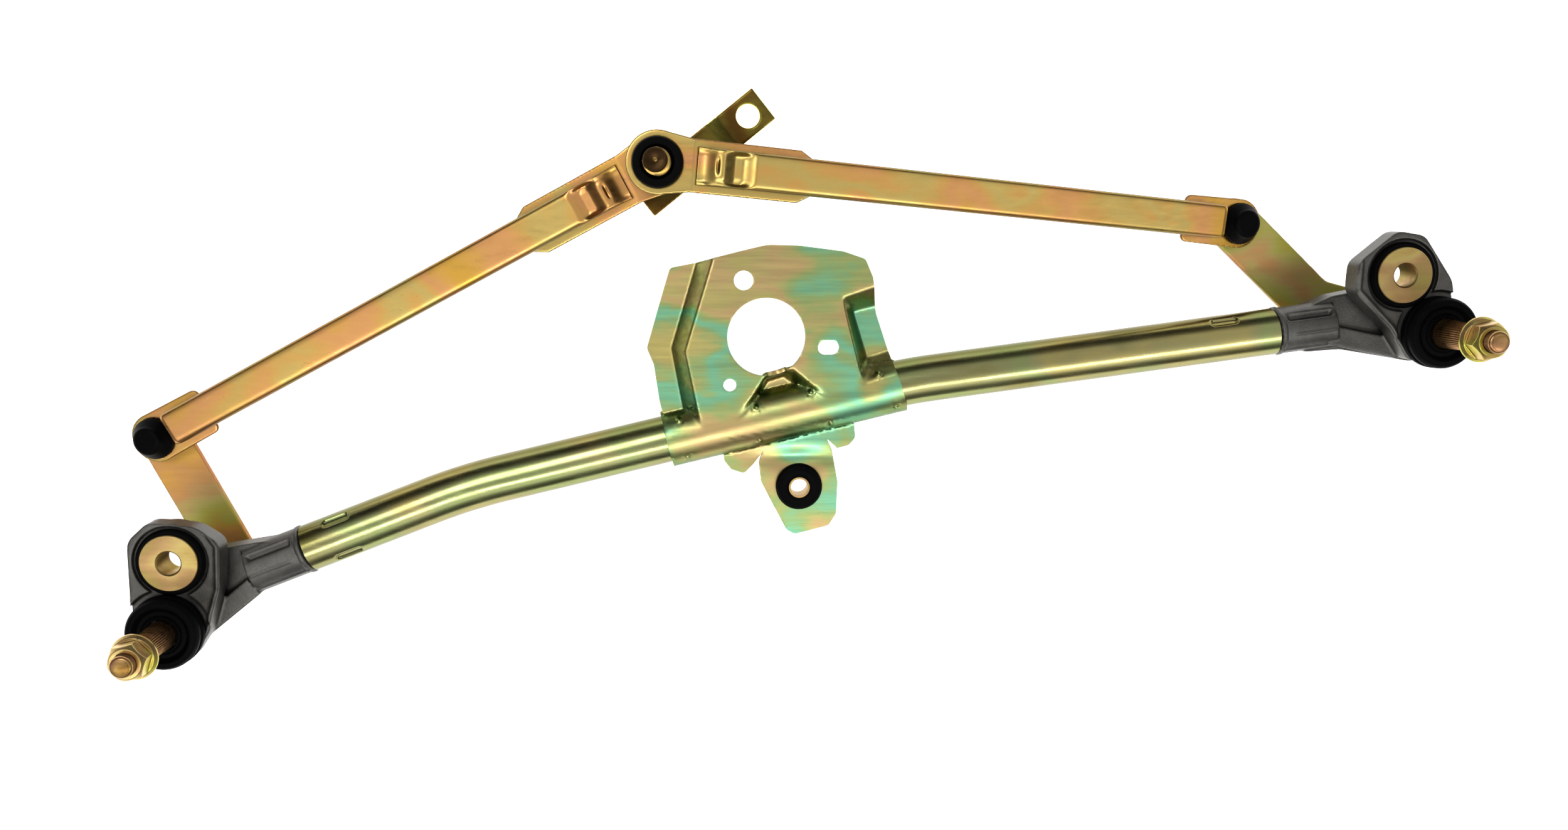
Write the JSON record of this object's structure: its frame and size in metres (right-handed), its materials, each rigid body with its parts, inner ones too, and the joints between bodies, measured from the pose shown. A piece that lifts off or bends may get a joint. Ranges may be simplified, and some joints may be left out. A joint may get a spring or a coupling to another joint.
{
  "type": "windshield wiper linkage",
  "caption": "Vehicle windshield wiper linkage: bent cross tube with cast pivot housings, pressed motor bracket, threaded spindles with levers, and rods that meet on a crank arm.",
  "frame": {"origin": "centre of the motor shaft hole in the bracket's top face", "axes": "+Z is the bracket's normal, towards the threaded spindle tips; +X runs along the cross tube from the left pivot to the right; +Y points from the tube to the motor side of the bracket"},
  "size_m": [0.6264, 0.2576, 0.102],
  "materials": {
    "tube_zinc": "yellow zinc-plated steel tube",
    "bracket_zinc": "iridescent yellow-green zinc-plated sheet",
    "rod_zinc": "tan yellow zinc-plated sheet",
    "lever_zinc": "gold zinc-plated steel strip",
    "crank_zinc": "brown-gold zinc-plated steel",
    "spindle_zinc": "brown-gold zinc-plated turned steel",
    "nut_zinc": "pale gold zinc-plated steel",
    "sleeve_zinc": "gold zinc-plated steel",
    "stud_steel": "turned steel",
    "washer_steel": "plain steel",
    "clip_steel": "blackened spring steel",
    "cast_metal": "matt as-cast grey",
    "bush_plastic": "bearing plastic",
    "socket_plastic": "black moulded plastic",
    "rubber_black": "black moulded rubber"
  },
  "bodies": {
    "frame": {"cross_tube": "tube_zinc", "motor_bracket": "bracket_zinc", "bracket_grommet": "rubber_black", "bracket_sleeve": "sleeve_zinc", "left_pivot_housing": "cast_metal", "left_upper_bush": "bush_plastic", "left_lower_bush": "bush_plastic", "left_mount_grommet": "rubber_black", "left_mount_sleeve": "sleeve_zinc", "left_spindle_boot": "rubber_black", "right_pivot_housing": "cast_metal", "right_upper_bush": "bush_plastic", "right_lower_bush": "bush_plastic", "right_mount_grommet": "rubber_black", "right_mount_sleeve": "sleeve_zinc", "right_spindle_boot": "rubber_black"},
    "left_spindle_unit": {"left_spindle": "spindle_zinc", "left_lever": "lever_zinc", "left_ball_stud": "stud_steel", "left_arm_nut": "nut_zinc", "left_thrust_washer": "washer_steel", "left_retaining_clip": "clip_steel"},
    "left_rod": {"left_rod_channel": "rod_zinc", "left_rod_lever_eye": "rod_zinc", "left_rod_crank_eye": "rod_zinc", "left_lever_socket": "socket_plastic", "lower_crank_socket": "socket_plastic"},
    "right_spindle_unit": {"right_spindle": "spindle_zinc", "right_lever": "lever_zinc", "right_ball_stud": "stud_steel", "right_arm_nut": "nut_zinc", "right_thrust_washer": "washer_steel", "right_retaining_clip": "clip_steel"},
    "right_rod": {"right_rod_channel": "rod_zinc", "right_rod_lever_eye": "rod_zinc", "right_rod_crank_eye": "rod_zinc", "right_lever_socket": "socket_plastic"},
    "crank": {"crank_arm": "crank_zinc", "crank_ball_stud": "stud_steel", "upper_crank_socket": "socket_plastic"}
  },
  "joints": [
    {"name": "left_spindle_turn", "type": "hinge", "parent": "frame", "child": "left_spindle_unit", "pos_m": [-0.272, -0.131, 0], "axis": [0, 0, 1], "range_deg": [-30, 8]},
    {"name": "right_spindle_turn", "type": "hinge", "parent": "frame", "child": "right_spindle_unit", "pos_m": [0.3115, 0.001, 0], "axis": [0, 0, 1], "range_deg": [-25.93, 6.92]},
    {"name": "left_rod_swing", "type": "hinge", "parent": "left_spindle_unit", "child": "left_rod", "pos_m": [-0.2865, -0.049, -0.034], "axis": [0, 0, 1], "range_deg": [-9.74, 36.49]},
    {"name": "right_rod_swing", "type": "hinge", "parent": "right_spindle_unit", "child": "right_rod", "pos_m": [0.2305, 0.0505, -0.034], "axis": [0, 0, 1], "range_deg": [-7.25, 27.17]},
    {"name": "crank_turn", "type": "hinge", "parent": "left_rod", "child": "crank", "pos_m": [-0.0472, 0.077, 0.0175], "axis": [0, 0, 1], "continuous": true}
  ],
  "couplings": [
    {"joint": "right_spindle_turn", "follows": "left_spindle_turn", "ratio": 0.8639},
    {"joint": "left_rod_swing", "follows": "left_spindle_turn", "ratio": -1.216},
    {"joint": "right_rod_swing", "follows": "left_spindle_turn", "ratio": -0.9052}
  ]
}
